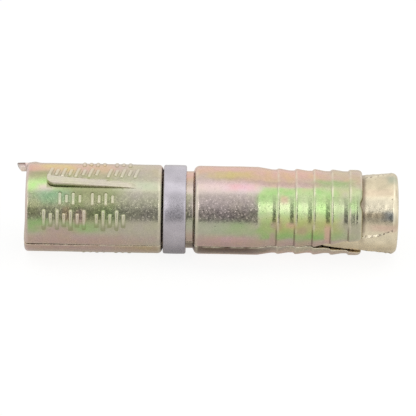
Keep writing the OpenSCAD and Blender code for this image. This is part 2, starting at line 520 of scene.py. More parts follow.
SHELL_FILM_AND_PAINTED_SHADE = tuple(FilmSpot(*row) for row in (
    # Sleeve, from its top round to the seam
    (6.0, 40, 12.0, 34, Tint.SAND),
    (0.9, 27, 1.5, 17, Tint.PINK),
    (-0.4, 68, 0.9, 20, Tint.PALE_PINK),
    (3.6, 33, 2.0, 12, Tint.AMBER),
    (7.6, 34, 2.6, 12, Tint.PEACH, 0.7),
    (1.5, 15, 1.3, 6, Tint.MOSS, 0.85),
    (7.2, -10, 5.2, 22, Tint.MOSS, 0.9),
    (7.0, -9, 4.2, 6, Tint.OLIVE, 0.8),
    (0.9, -3, 2.3, 11, Tint.LIME, 0.95),
    (2.2, -10, 0.8, 7, Tint.PALE_PINK, 0.85),
    (3.0, -20, 1.7, 9, Tint.TEAL, 0.95),
    (7.2, -42, 4.4, 16, Tint.MOSS, 0.8),
    (0.8, -36, 1.0, 12, Tint.MOSS, 0.9),
    (1.2, -58, 1.3, 9, Tint.GREEN, 0.9),
    (6.1, -60, 1.7, 7, Tint.GREEN, 0.8),
    (5.9, -45, 0.6, 9, Tint.MAUVE, 0.8, 3.0),
    (4.4, -41, 0.4, 9, Tint.TAN, 0.7, 3.0),
    (9.6, -44, 1.2, 9, Tint.GREEN, 0.5),
    (3.6, -66, 1.8, 7, Tint.MAUVE, 0.7),
    (12.4, -34, 2.4, 60, Tint.BEIGE, 0.95),
    (12.6, -2, 2.0, 6, Tint.SAGE, 0.8),
    (5.0, -82, 7.0, 10, Tint.MAUVE, 0.85),
    (0.0, 0, 0.38, 400, Tint.PALE_PINK, 0.9, 3.0),
    # Groove and waist
    (16.2, -14, 1.6, 34, Tint.MOSS),
    (16.2, 34, 1.6, 20, Tint.PINK),
    (21.0, 36, 4.6, 28, Tint.PEACH, 0.97),
    (21.0, -20, 4.0, 40, Tint.GREY_PINK, 1.0, 2.5),
    (22.2, 20, 2.5, 8, Tint.STRAW, 0.85),
    (22.5, 11, 1.9, 4, Tint.TAN, 0.75),
    (21.0, 2, 3.6, 8, Tint.PALE_PINK, 0.9),
    (22.7, -1, 1.4, 5, Tint.ROSE, 0.9),
    (20.8, -57, 3.8, 11, Tint.SAGE, 1.0),
    (22.6, -58, 1.4, 9, Tint.GREEN, 0.6),
    (20.6, -84, 4.4, 13, Tint.MAUVE, 0.95),
    (21.6, -75, 1.8, 5, Tint.ROSE, 0.5),
    # Barbs
    (30.0, -37, 5.45, 38, Tint.GREEN, 1.0, 14.0, 6.0),
    (29.3, -28, 4.4, 16, Tint.PALE_LIME, 0.9, 2.5),
    (31.2, -26, 0.7, 15, Tint.LIME, 0.9, 2.5),
    (33.2, -22, 0.6, 13, Tint.LIME, 0.8, 2.5),
    (25.2, -24, 0.7, 14, Tint.LIME, 0.5, 2.0),
    (33.7, -4, 1.1, 9, Tint.MOSS, 0.85),
    (30.4, -52, 4.8, 12, Tint.STRAW, 0.55),
    (30.0, 40, 6.5, 29, Tint.PEACH, 0.97),
    (33.8, 42, 2.6, 30, Tint.SAND, 0.9),
    (32.2, 8, 1.9, 7, Tint.GREEN, 0.8),
    (27.6, 6, 3.5, 4.5, Tint.MAUVE, 0.75, 2.5),
    (27.15, -17, 0.4, 5, Tint.PEACH, 0.65, 1.7, 1.4),
    (29.3, -80, 1.0, 11, Tint.GREEN, 0.75, 2.5),
    (27.9, -53, 0.5, 4, Tint.PEACH, 0.65, 1.7, 1.4),
    (28.95, -61, 0.6, 5, Tint.TAN, 0.65, 1.7, 1.4),
    (31.75, -66, 0.32, 16, Tint.PEACH, 0.8, 2.5),
    (26.05, -52, 0.3, 4, Tint.MAUVE, 0.6, 1.7, 1.4),
    (26.0, -72, 0.3, 8, Tint.MAUVE, 0.7, 2.5),
    (26.6, -52, 0.4, 9, Tint.TAN, 0.6),
    (34.5, -50, 1.5, 40, Tint.BEIGE, 0.8),
    (34.4, -20, 0.5, 14, Tint.LIME, 0.6),
    (30.0, -88, 6.0, 11, Tint.MAUVE, 0.8),
    # Rear edge, which shows under the seam of the other shell
    # Painted shade: umber along the waist, where this edge mirrors the shadow under the object
    (21.0, 85, 4.4, 19, Tint.UMBER, 0.95, 2.0),
    (12.4, 84, 2.6, 15, Tint.TAN, 0.8),
    (4.0, 85, 7.0, 14, Tint.MAUVE, 0.9),
))
NUT_FILM_AND_PAINTED_LIGHT = tuple(FilmSpot(*row) for row in (
    (36.9, -24, 2.6, 15, Tint.CHALK, 0.95, 2.0),
    (36.9, -2, 2.3, 6, Tint.SAND, 0.8, 2.0),
    (38.1, -38, 0.6, 6, Tint.STEEL, 1.0),
    (36.4, -37, 1.5, 4, Tint.TAN, 0.5),
    (38.5, 24, 0.5, 9, Tint.SAGE, 0.9),
    # Painted highlights: two thin chalk lines along the rim's rounding
    (38.68, -14, 0.09, 30, Tint.CHALK, 0.95, 2.0),
    (39.02, -8, 0.07, 34, Tint.CHALK, 0.95, 2.0),
    (37.3, -68, 2.6, 17, Tint.CHALK, 0.85),
    (37.8, -56, 1.5, 5, Tint.PINK, 0.45),
    # Painted shadow: umber on the nut just past the shells' mouth
    (35.35, -12, 0.3, 56, Tint.UMBER, 0.7, 2.0),
))


def write_film_and_painted_light(piece: Piece, at: Places, base: Tint, spots: tuple[FilmSpot, ...], more: tuple) -> None:
    """Lays tints over each other, painted shade and highlights among them, and stores the colour of each
    vertex.

    Args:
        piece: plated piece.
        at: places of its points.
        base: colour where nothing lies over it.
        spots: soft spots, the undermost first.
        more: tints that lie over the spots, with their share at each point.
    """
    film = np.tile(linear(base.value), (len(at.x), 1))
    for tint, share in (*((spot.tint, spot.cover(at)) for spot in spots), *more):
        film += (np.array(linear(tint.value)) - film) * share[:, None]
    write_attribute(piece, "film", film)


@dataclass(frozen=True)
class Finish:
    """What the finishes share: patterns on Object coordinates, and a grain that roughens them."""

    name: str
    roughness: float
    smoother: float = 0.05
    rougher: float = 0.08

    def start(self, *sizes: tuple[float, float, float]) -> tuple[bpy.types.Material, list[Socket]]:
        """Starts the material with its noise patterns.

        Args:
            sizes: width in mm, detail and roughness of each pattern.

        Returns:
            The material, then the sockets of the Object coordinates and of each pattern.
        """
        material = bpy.data.materials.new(self.name)
        material.use_nodes = True
        sockets = [add_node(material.node_tree, "ShaderNodeTexCoord")["Object"]]
        for size, detail, rough in sizes:
            noise = {"Vector": sockets[0], "Scale": 1 / (size * MM), "Detail": detail, "Roughness": rough}
            sockets.append(add_node(material.node_tree, "ShaderNodeTexNoise", noise)[0])
        return material, sockets

    def end(self, tree: Tree, colour: Socket, metallic: float, grain: Socket, bumps: tuple) -> None:
        """Links colour, roughness and bumps to the shader.

        Args:
            tree: node tree of the material.
            colour: its colour.
            metallic: how far it mirrors as metal does.
            grain: pattern of its grain.
            bumps: strength, depth in mm, height and direction of each, the undermost first.
        """
        limits = self.roughness - self.smoother, self.roughness + self.rougher
        links = {"Base Color": colour}
        links["Roughness"] = add_node(tree, "ShaderNodeMapRange", (grain, 0.3, 0.7, *limits))[0]
        for strength, depth, height, inwards in bumps:
            inputs = {"Strength": strength, "Distance": depth * MM, "Height": height}
            if "Normal" in links:
                inputs["Normal"] = links["Normal"]
            links["Normal"] = add_node(tree, "ShaderNodeBump", inputs, invert=inwards)[0]
        shader = tree.nodes["Principled BSDF"]
        shader.inputs["Metallic"].default_value = metallic
        for name, socket in links.items():
            tree.links.new(socket, shader.inputs[name])


@dataclass(frozen=True)
class YellowZinc(Finish):
    """Bright zinc plate with a yellow chromate film on stamped steel.

    The film is thin enough to show interference colours, so the steel looks mauve, straw,
    green and pink in soft bands. The plating is finely grained and glossy. Its real grain, about
    0.1 mm wide, is too fine to show, so grain and glints are drawn two to three times as coarse.
    """

    name: str = "yellow_chromate_zinc_plate"
    roughness: float = 0.23
    rougher: float = 0.07
    worn_and_highlight: str = "#E2DAC4"
    grain_mm: float = 0.3
    glint_mm: float = 0.22
    cloud_mm: float = 1.5

    def make(self) -> bpy.types.Material:
        """Builds the material, which reads two vertex attributes: the film's colour, which holds painted
        shade and highlights too, and the pale share of rubbed film and painted highlights.

        Returns:
            The material.
        """
        material, (_, cloud, grain, coarse) = self.start(
            (self.cloud_mm, 3.0, 0.5), (self.grain_mm, 2.5, 0.62), (self.glint_mm, 1.0, 0.5)
        )
        tree = material.node_tree
        film = add_node(tree, "ShaderNodeAttribute", attribute_name="film")["Color"]
        wear_and_highlight = add_node(tree, "ShaderNodeAttribute", attribute_name="wear_and_highlight")["Fac"]
        # Clouds shift the film's hue a little, as they do on barrel-plated parts
        hue = add_node(tree, "ShaderNodeMapRange", (cloud, 0.35, 0.65, 0.483, 0.517))[0]
        depth = add_node(tree, "ShaderNodeMapRange", (cloud, 0.35, 0.65, 0.9, 1.12))[0]
        shift = {"Color": film, "Hue": hue, "Saturation": depth}
        drifted = add_node(tree, "ShaderNodeHueSaturation", shift)[0]
        # The tops of the grains are a little brighter than the pits between them
        shade = add_node(tree, "ShaderNodeMapRange", (grain, 0.3, 0.7, 0.92, 1.05))[0]
        toned = add_node(tree, "ShaderNodeMix", {0: 1.0, 6: drifted, 7: shade},
                         data_type="RGBA", blend_type="MULTIPLY")[2]
        # Rubbed film and painted highlights take the pale colour
        rubbed = {0: wear_and_highlight, 6: toned, 7: linear(self.worn_and_highlight)}
        colour = add_node(tree, "ShaderNodeMix", rubbed, data_type="RGBA")[2]
        # Faint waves that pressing leaves, then the plating's grain, then a few coarser grains that glint
        glints = add_node(tree, "ShaderNodeMapRange", (coarse, 0.61, 0.76),
                          interpolation_type="SMOOTHSTEP")[0]
        self.end(tree, colour, 1.0, grain, (
            (0.5, 0.02, cloud, False), (0.4, 0.015, grain, False), (0.5, 0.02, glints, False),
        ))
        return material


@dataclass(frozen=True)
class CastZinc(Finish):
    """Cast nut with a thin pale chromate film.

    The eye sees warm champagne metal with casting pits, a rough flash line and dull patches.
    The real skin's grain, about 0.1 mm wide, is too fine to show, so it is drawn coarser.
    """

    name: str = "cast_zinc_plate"
    roughness: float = 0.27
    pit: str = "#6B5F4A"
    pit_mm: float = 0.85
    cloud_mm: float = 1.3
    grain_mm: float = 0.28

    def make(self) -> bpy.types.Material:
        """Builds the material, which reads the vertex attribute film.

        Returns:
            The material.
        """
        material, (place, cloud, grain) = self.start((self.cloud_mm, 3.0, 0.55), (self.grain_mm, 3.0, 0.6))
        tree = material.node_tree
        film = add_node(tree, "ShaderNodeAttribute", attribute_name="film")["Color"]
        shade = add_node(tree, "ShaderNodeMapRange", (cloud, 0.3, 0.7, 0.86, 1.1))[0]
        toned = add_node(tree, "ShaderNodeMix", {0: 1.0, 6: film, 7: shade},
                         data_type="RGBA", blend_type="MULTIPLY")[2]
        spread = {"Vector": place, "Scale": 1 / (self.pit_mm * MM), "Randomness": 1.0}
        cells = add_node(tree, "ShaderNodeTexVoronoi", spread)["Distance"]
        pits = add_node(tree, "ShaderNodeMapRange", (cells, 0.07, 0.13, 1.0, 0.0),
                        interpolation_type="SMOOTHSTEP")[0]
        # Only where the casting is porous do the cells hold a pit
        porous = add_node(tree, "ShaderNodeMapRange", (cloud, 0.52, 0.6, 0.0, 1.0))[0]
        mask = add_node(tree, "ShaderNodeMath", (pits, porous), operation="MULTIPLY")[0]
        pitted = {0: mask, 6: toned, 7: linear(self.pit)}
        colour = add_node(tree, "ShaderNodeMix", pitted, data_type="RGBA")[2]
        self.end(tree, colour, 1.0, grain, ((0.8, 0.05, mask, True), (0.6, 0.018, grain, False)))
        return material


@dataclass(frozen=True)
class MouldedNylon(Finish):
    """Silver-grey moulded nylon: a metallic pigment gives it a soft sheen over a satin skin.

    The mould's own texture, about 0.05 mm wide, is too fine to show, so it is drawn coarser.
    """

    name: str = "moulded_silver_grey_nylon"
    roughness: float = 0.28
    light: str = "#C5C0C7"
    dark: str = "#BBB6BD"
    pigment: float = 0.92
    mottle_mm: float = 1.4
    texture_mm: float = 0.16
    shaded_to_mm: float = 4.6

    def make(self) -> bpy.types.Material:
        """Builds the material.

        Returns:
            The material.
        """
        material, (place, mottle, texture) = self.start(
            (self.mottle_mm, 2.0, 0.5), (self.texture_mm, 2.0, 0.5)
        )
        tree = material.node_tree
        tone = add_node(tree, "ShaderNodeMapRange", (mottle, 0.35, 0.65))[0]
        blend = {0: tone, 6: linear(self.dark), 7: linear(self.light)}
        clean = add_node(tree, "ShaderNodeMix", blend, data_type="RGBA")[2]
        # Painted shade: darker towards the bottom, over the half that the ring lies on
        height = add_node(tree, "ShaderNodeSeparateXYZ", (place,))["Z"]
        lower_shade = add_node(tree, "ShaderNodeMapRange", (height, 0.5 * MM, self.shaded_to_mm * MM, 0.6, 1.0),
                        interpolation_type="SMOOTHSTEP")[0]
        colour = add_node(tree, "ShaderNodeMix", {0: 1.0, 6: clean, 7: lower_shade},
                          data_type="RGBA", blend_type="MULTIPLY")[2]
        self.end(tree, colour, self.pigment, texture, ((0.2, 0.004, texture, False),))
        return material


@dataclass(frozen=True)
class BarRow:
    """A row of plain raised bars pressed into the sleeve, long and short in turn.

    Attributes:
        x: middle of the first bar along the axis, in mm.
        angle: middle of the row round the axis, in degrees.
        count: number of bars.
        gap_after: index of the bar that a wider gap follows.
        height: length of a long bar, round the axis, in mm.
        lean: how far a bar leans along the axis for each mm of its length.
        fade: share of the height over which the lower ends sink into the sheet.
        pitch: distance from one bar to the next, in mm.
        gap: extra width of the wider gap, in mm.
    """

    x: float
    angle: float
    count: int
    gap_after: int
    height: float
    lean: float = 0.0
    fade: float = 0.0
    pitch: float = 0.7
    gap: float = 0.6


@dataclass
class RaisedBars:
    """Rows of plain raised bars on the sleeve of a shell, which spell nothing."""

    layout: Layout
    half: Half
    sheet_r: float
    stroke: float = 0.46
    proud: float = 0.12
    clear: float = 0.01
    rows: tuple[BarRow, ...] = (
        BarRow(x=3.75, angle=-21.8, count=8, gap_after=3, height=1.5),
        BarRow(x=2.1, angle=-50.0, count=12, gap_after=6, height=2.35, fade=0.5),
        BarRow(x=2.7, angle=19.2, count=13, gap_after=7, height=1.7, lean=0.28),
        BarRow(x=6.2, angle=45.5, count=7, gap_after=3, height=1.8),
    )

    def tree(self) -> Tree:
        """Builds the node tree that lays one row of bars round the sleeve.

        Returns:
            The tree, with a named input for each size.
        """
        tree, known = open_group("raised_bars", (
            "Start", "Pitch", "Gap", "Height", "Stroke", "Proud", "Lean", "Fade", "Angle", "Radius",
            "Axis Height",
        ), ("Count", "Gap After"))
        known["Index"] = add_node(tree, "GeometryNodeInputIndex")[0]
        known["Past Gap"] = add_node(tree, "FunctionNodeCompare", {2: known["Index"], 3: known["Gap After"]},
                                     data_type="INT", operation="GREATER_THAN")[0]
        position = add_node(tree, "GeometryNodeInputPosition")[0]
        known.update(add_node(tree, "ShaderNodeSeparateXYZ", (position,)).items())
        add_rows(tree, "ShaderNodeMath", "operation", known, (
            # One bar is a finely divided block, a little wider than the bar's foot
            ("Block Width", "MULTIPLY", "Stroke", 1.1),
            ("Block Height", "MULTIPLY_ADD", "Stroke", 0.1, "Height"),
            # Every second bar is shorter, and all lean alike
            ("Shift", "MULTIPLY_ADD", "Past Gap", "Gap", "Start"),
            ("Odd", "MODULO", "Index", 2.0),
            ("Shorter", "MULTIPLY_ADD", "Odd", -0.34, 1.0),
            ("Turn", "MULTIPLY", "Lean", -1.0),
            # Distance from the bar's middle line, as a share of half its stroke
            ("Straight", "SUBTRACT", "Height", "Stroke"),
            ("Core", "MULTIPLY", "Straight", 0.5),
            ("Off Middle", "ABSOLUTE", "Y"),
            ("Off Core", "SUBTRACT", "Off Middle", "Core"),
            ("Beyond", "MAXIMUM", "Off Core", 0.0),
            ("X Square", "POWER", "X", 2.0),
            ("Beyond Square", "POWER", "Beyond", 2.0),
            ("Far Square", "ADD", "X Square", "Beyond Square"),
            ("Far", "SQRT", "Far Square"),
            ("Half Stroke", "MULTIPLY", "Stroke", 0.5),
            ("Share", "DIVIDE", "Far", "Half Stroke"),
            # Height of the face: rounded across, and down to just under the sheet at its foot
            ("Share Square", "POWER", "Share", 2.0),
            ("Crown", "SUBTRACT", 1.0, "Share Square"),
            ("Face", "MAXIMUM", "Crown", -0.25),
            ("Height Share", "DIVIDE", "Y", "Height"),
            ("From Foot", "ADD", "Height Share", 0.5),
            ("Fade End", "MAXIMUM", "Fade", 0.001),
        ))
        sinking = known["From Foot"], 0.0, known["Fade End"], 0.05, 1.0
        known["Sunk"] = add_node(tree, "ShaderNodeMapRange", sinking, interpolation_type="SMOOTHSTEP")[0]
        add_rows(tree, "ShaderNodeMath", "operation", known, (
            ("Faded", "MULTIPLY", "Face", "Sunk"),
            ("Raised", "MULTIPLY", "Faded", "Proud"),
            ("Is Face", "GREATER_THAN", "Z", 0.0),
            ("Buried", "MULTIPLY", "Proud", -1.0),
            ("Thickness", "SUBTRACT", "Raised", "Buried"),
            ("Level", "MULTIPLY_ADD", "Is Face", "Thickness", "Buried"),
        ))
        for name, terms in (
            ("Size", ("Block Width", "Block Height", "Proud")),
            ("Step", ("Pitch",)),
            ("Offset", ("Shift",)),
            ("Form", ("X", "Y", "Level")),
            ("Rotation", (0.0, 0.0, "Turn")),
            ("Scale", (1.0, "Shorter", 1.0)),
        ):
            known[name] = add_node(tree, "ShaderNodeCombineXYZ", pick(known, terms))[0]
        block = add_node(tree, "GeometryNodeMeshCube", (known["Size"], 11, 31, 2))[0]
        line = {"Count": known["Count"], "Offset": known["Step"]}
        points = add_node(tree, "GeometryNodeMeshLine", line)[0]
        spread = add_node(tree, "GeometryNodeSetPosition", {"Geometry": points, "Offset": known["Offset"]})[0]
        formed = add_node(tree, "GeometryNodeSetPosition", {"Geometry": block, "Position": known["Form"]})[0]
        bars = add_node(tree, "GeometryNodeInstanceOnPoints", {
            "Points": spread, "Instance": formed, "Rotation": known["Rotation"], "Scale": known["Scale"],
        })[0]
        real = add_node(tree, "GeometryNodeRealizeInstances", (bars,))[0]
        # Flat row to cylinder: y becomes the angle and z the height above the sheet
        add_rows(tree, "ShaderNodeMath", "operation", known, (
            ("Out", "ADD", "Radius", "Z"),
            ("Round Share", "DIVIDE", "Y", "Radius"),
            ("Round", "ADD", "Angle", "Round Share"),
            ("Sine", "SINE", "Round"),
            ("Cosine", "COSINE", "Round"),
            ("Across", "MULTIPLY", "Out", "Sine"),
            ("Up", "MULTIPLY_ADD", "Out", "Cosine", "Axis Height"),
        ))
        on_shell = add_node(tree, "ShaderNodeCombineXYZ", (known["X"], known["Across"], known["Up"]))[0]
        laid = add_node(tree, "GeometryNodeSetPosition", {"Geometry": real, "Position": on_shell})[0]
        close_group(tree, laid, known["Material"])
        return tree

    def proud_of(self, row: BarRow) -> float:
        """Height of a row's bars: lower where the shell rests on the floor, so they clear it.

        Args:
            row: the row.

        Returns:
            The height in mm.
        """
        reach = (row.height / 2 + 0.03) / self.sheet_r
        down = self.layout.roll + (0 if self.half is Half.BACK else 180)
        off = math.radians(abs((row.angle - down + 180) % 360 - 180))
        room = (self.layout.axis_z - self.clear) / math.cos(max(off - reach, 0.0)) - self.sheet_r
        return min(self.proud, room) if off - reach < 0.5 else self.proud

    def build(self, tree: Tree, material: bpy.types.Material) -> Surface:
        """Runs the tree once for each row and gathers the bars.

        Args:
            tree: node tree from tree().
            material: finish of the bars.

        Returns:
            The bars of this half, in metres in the frame.
        """
        layout = self.layout
        total = Surface(np.empty((0, 3)), [])
        for row in self.rows:
            lengths = {
                "Start": row.x - layout.mid_x, "Pitch": row.pitch, "Gap": row.gap, "Height": row.height,
                "Stroke": self.stroke, "Proud": self.proud_of(row),
                "Radius": self.sheet_r, "Axis Height": layout.axis_z,
            }
            values = {name: length * MM for name, length in lengths.items()}
            values.update({
                "Lean": row.lean, "Fade": row.fade, "Count": row.count, "Gap After": row.gap_after,
                "Angle": math.radians(row.angle - layout.roll - self.half.value), "Material": material,
            })
            total = total.joined(take_surface(grow("bar_row", tree, values)))
        return total


@dataclass(frozen=True)
class Mound:
    """A soft rise of the surface.

    Attributes:
        height: how far it stands out, in mm.
        x: middle along the axis, in mm.
        half_x: half its length, in mm.
        angle: middle round the axis, in degrees.
        half_angle: half its width, in degrees.
    """

    height: float
    x: float
    half_x: float
    angle: float
    half_angle: float

    def rise(self, x: float, angle: np.ndarray) -> np.ndarray:
        """Height of the mound at one place along the axis and many angles, in mm."""
        return self.height * bell((x - self.x) / self.half_x) * bell((angle - self.angle) / self.half_angle)


@dataclass
class HalfShell:
    """One stamped half shell with its barbs, groove, V-slots, lanced fin and end tab."""

    layout: Layout
    half: Half
    body_r: float = 4.65
    sheet_t: float = 0.5
    shell_len: float = 35.35
    seam_gap: float = 0.2
    seam_hairline: float = 0.06
    edge_round: float = 0.35
    sleeve_len: float = 14.0
    shoulder_len: float = 0.5
    neck_r: float = 4.04
    neck_len: float = 3.0
    waist_r: float = 4.63
    waist_x1: float = 24.45
    waist_x2: float = 25.95
    barb_x0: float = 26.35
    barb_pitch: float = 1.88
    barb_count: int = 5
    crest_r: float = 4.49
    valley_r: float = 4.32
    first_valley_r: float = 4.38
    barb_rise: float = 0.2
    crest_flat: float = 0.17
    valley_flat: float = 0.5
    bend_r: float = 0.045
    mouth_r: float = 3.99
    mouth_round_x: float = 0.55
    slot_len: float = 5.15
    slot_angle: float = 12.7
    corner: float = 0.07
    fin_angle: float = -6.0
    fin_x0: float = 2.35
    fin_x1: float = 11.85
    fin_w: float = 1.65
    fin_end_w: float = 0.7
    fin_turn: float = 21.95
    fin_nose_r: float = 0.75
    fin_heel: float = 0.35
    fin_root: float = 0.3
    slit_w: float = 0.06
    slit_reach: float = 0.72
    tab_len: float = 1.0
    tab_from: float = 55.0
    tab_to: float = 85.0
    tab_slant: float = 38.0
    tab_shear: float = 2.4
    edge_bevel: float = 0.045
    unevenness: float = 0.006
    hollow: float = 0.13
    nick: float = 0.24
    nick_angle: float = -21.0
    end_depth: float = 0.8
    burr: Mound = Mound(0.11, 0.95, 0.4, 58, 6)
    press_rings: Mound = Mound(0.016, 34.55, 0.42, -26, 24)
    press_x: float = 34.0
    press_pitch: float = 0.42

    def outer_radius(self, x: np.ndarray) -> np.ndarray:
        """Outside radius along the axis, with the bends and crests rounded.

        Args:
            x: distances from the screw end, in mm.

        Returns:
            The radius at each of them.
        """
        step = 0.01
        at = np.arange(-2, self.shell_len + 2, step)
        neck_x1 = self.sleeve_len + self.shoulder_len + self.neck_len
        # The sleeve is rolled over into the groove, and so is the body at its other side
        down = 1 - np.sqrt(1 - np.clip((at - self.sleeve_len) / self.shoulder_len, 0, 1) ** 2)
        up = np.sqrt(1 - np.clip(1 - (at - neck_x1 - 0.2) / (self.shoulder_len + 0.1), 0, 1) ** 2)
        radius = self.body_r + (self.neck_r - self.body_r) * down + (self.waist_r - self.neck_r) * up
        taper = np.clip((at - self.waist_x1) / (self.waist_x2 - self.waist_x1), 0, 1)
        radius -= (self.waist_r - self.first_valley_r) * taper
        slope = self.barb_pitch - self.barb_rise - self.crest_flat - self.valley_flat
        for i in range(self.barb_count):
            since = at - self.barb_x0 - i * self.barb_pitch
            last = i == self.barb_count - 1
            fall = np.clip((since - self.barb_rise - self.crest_flat) / slope, 0, 1) * (not last)
            foot = self.first_valley_r if i == 0 else self.valley_r
            radius += (self.crest_r - foot) * smooth_step(since / self.barb_rise)
            radius -= (self.crest_r - self.valley_r) * fall
        width = np.arange(-0.15, 0.15 + step, step)
        kernel = np.exp(-(width / self.bend_r) ** 2 / 2)
        return np.interp(x, at, np.convolve(radius, kernel / kernel.sum(), mode="same"))

    def inner_radius(self, x: np.ndarray) -> np.ndarray:
        """Inside radius along the axis.

        Args:
            x: distances from the screw end, in mm.

        Returns:
            The radius at each of them.
        """
        bend = self.sheet_t * 0.48
        neck_x0 = self.sleeve_len + self.shoulder_len - bend
        neck_x1 = self.sleeve_len + self.shoulder_len + self.neck_len + bend
        down = smooth_step((x - neck_x0 + self.shoulder_len) / self.shoulder_len)
        up = smooth_step((x - neck_x1) / self.shoulder_len)
        taper = smooth_step((x - self.waist_x1) / (self.barb_x0 - self.waist_x1))
        radius = self.body_r - self.sheet_t + (self.neck_r - self.body_r) * down
        radius += (self.waist_r - self.neck_r) * up
        radius -= (self.waist_r - self.sheet_t - self.mouth_r) * taper
        radius += np.clip(0.05 - x, 0, 0.05)
        return radius + np.clip(x - (self.shell_len - 0.12), 0, 0.12)

    def stations(self) -> np.ndarray:
        """Places along the wall, close together at the bends.

        Returns:
            Rows of x and outside radius, from the screw end to the mouth.
        """
        turn = np.linspace(0, math.pi / 2, 9)[:-1]
        start_r = self.body_r - self.edge_round + self.edge_round * np.sin(turn)
        start = np.column_stack([self.edge_round * (1 - np.cos(turn)), start_r])
        # Each span has its ends and the distance from one place to the next
        spans = [
            (self.edge_round, 2.3, 0.15), (2.3, 3.3, 0.08), (3.3, 12.2, 0.2), (12.2, 13.85, 0.15),
            (13.85, 15.0, 0.045), (15.0, 17.2, 0.2), (17.2, 18.4, 0.045), (18.4, 24.2, 0.22),
            (24.2, self.barb_x0 - 0.2, 0.1),
        ]
        mouth_x = self.shell_len - self.mouth_round_x
        for i in range(self.barb_count):
            crest = self.barb_x0 + i * self.barb_pitch
            last = i == self.barb_count - 1
            end, step = (mouth_x, 0.05) if last else (crest + self.barb_pitch - 0.2, 0.11)
            spans += [(crest - 0.2, crest + 0.5, 0.03), (crest + 0.5, end, step)]
        x = np.concatenate([
            np.linspace(a, b, max(2, round((b - a) / step)), endpoint=False) for a, b, step in spans
        ])
        turn = np.linspace(0, math.pi / 2, 11)
        low = self.mouth_r + 0.14
        end_r = low + (self.crest_r - low) * np.cos(turn)
        end = np.column_stack([mouth_x + self.mouth_round_x * np.sin(turn), end_r])
        return np.vstack([start, np.column_stack([x, self.outer_radius(x)]), end])

    def seam_height(self, x: np.ndarray) -> np.ndarray:
        """Distance from the seam plane to the shell's edge, wider in the V-slot.

        The gap is open at the screw end, where the shells tilt towards each other as they
        spread, and a hairline from there to the V-slot.

        Args:
            x: distances from the screw end, in mm.

        Returns:
            The distance at each of them.
        """
        slot_x = self.shell_len - self.slot_len
        gaps = self.seam_gap, self.seam_hairline, self.seam_hairline, self.seam_gap
        gap = np.interp(x, [2.0, 8.0, slot_x - 1.7, slot_x], gaps)
        return gap / 2 + np.clip(x - slot_x, 0, None) * math.tan(math.radians(self.slot_angle))

    def wall(self) -> Surface:
        """Builds the pressed wall as a closed strip with rounded seam edges.

        Returns:
            The wall in the shield's coordinates.
        """
        across, bends = 88, 4
        bend = np.linspace(0, math.pi / 2, bends + 1)[1:]
        line = self.stations()
        rows = []
        for (x, outer), inner, edge in zip(line, self.inner_radius(line[:, 0]), self.seam_height(line[:, 0])):
            corner = min(self.corner, 0.3 * (outer - inner))
            out_a = np.linspace(-1, 1, across + 1) * math.acos((edge + corner) / outer)
            in_a = np.linspace(1, -1, across + 1) * math.acos((edge + corner) / inner)
            out_r = outer + self.dents(x, np.degrees(out_a))
            # Round the seam's edge from the outside to the inside
            fillet_r = outer - corner * (1 - np.cos(bend))
            root_r = inner + corner * (1 - np.cos(bend))
            side_r = np.concatenate([fillet_r, root_r[::-1]])
            side_z = edge + corner * (1 - np.sin(np.concatenate([bend, bend[::-1]])))
            side_y = np.sqrt(side_r ** 2 - side_z ** 2)
            y = np.concatenate([out_r * np.sin(out_a), side_y, inner * np.sin(in_a), -side_y[::-1]])
            z = np.concatenate([out_r * np.cos(out_a), side_z, inner * np.cos(in_a), side_z[::-1]])
            rows.append(np.column_stack([x + self.end_error(x, np.degrees(np.arctan2(y, z))), y, z]))
        grid = np.array(rows)
        count, length = grid.shape[:2]
        faces = grid_faces(count, length, False)
        # The two ends: the outer run of the loop is paired with the inner run
        half = length // 2
        first = across + 1 + bends
        last = (count - 1) * length
        outer_run = [(first - half + k) % length for k in range(half)]
        inner_run = [(first + half - 1 - k) % length for k in range(half)]
        for a, b, c, d in zip(outer_run, outer_run[1:], inner_run, inner_run[1:]):
            faces += [(a, b, d, c), (last + a, last + c, last + d, last + b)]
        return Surface(grid.reshape(-1, 3), faces)

    def dents(self, x: float, angle: np.ndarray) -> np.ndarray:
        """Small unevenness of the pressed sheet, and the burr beside the tab.

        Args:
            x: place along the axis, in mm.
            angle: angles round the axis, in degrees.

        Returns:
            How far the outside stands out there, in mm.
        """
        seed = 3 if self.half is Half.FRONT else 8
        rise = self.unevenness * ripple(x, np.radians(angle) * self.body_r, 3.2, seed)
        if self.half is Half.FRONT:
            rise += self.burr.rise(x, angle)
            # Rings that the press left round the last barb, strongest where the mouth was knocked
            ring = math.sin(2 * math.pi * (x - self.press_x) / self.press_pitch)
            rise += ring * self.press_rings.rise(x, angle)
        return rise * smooth_step(x / 0.4)

    def end_error(self, x: float, angle: np.ndarray) -> np.ndarray:
        """Shift along the axis that makes the front shell's two ends uneven, as sheared steel is.

        Args:
            x: place along the axis, in mm.
            angle: angles round the axis, in degrees.

        Returns:
            The hollow of the screw end and the nick in the mouth, in mm.
        """
        if self.half is Half.BACK:
            return np.zeros_like(angle)
        at_start = max(0.0, 1 - x / self.end_depth) ** 2
        at_mouth = max(0.0, (x - self.shell_len + self.end_depth) / self.end_depth) ** 2
        hollow = self.hollow * at_start * smooth_step((angle + 85) / 40) * smooth_step((75 - angle) / 40)
        return hollow - self.nick * at_mouth * bell((angle - self.nick_angle) / 7)

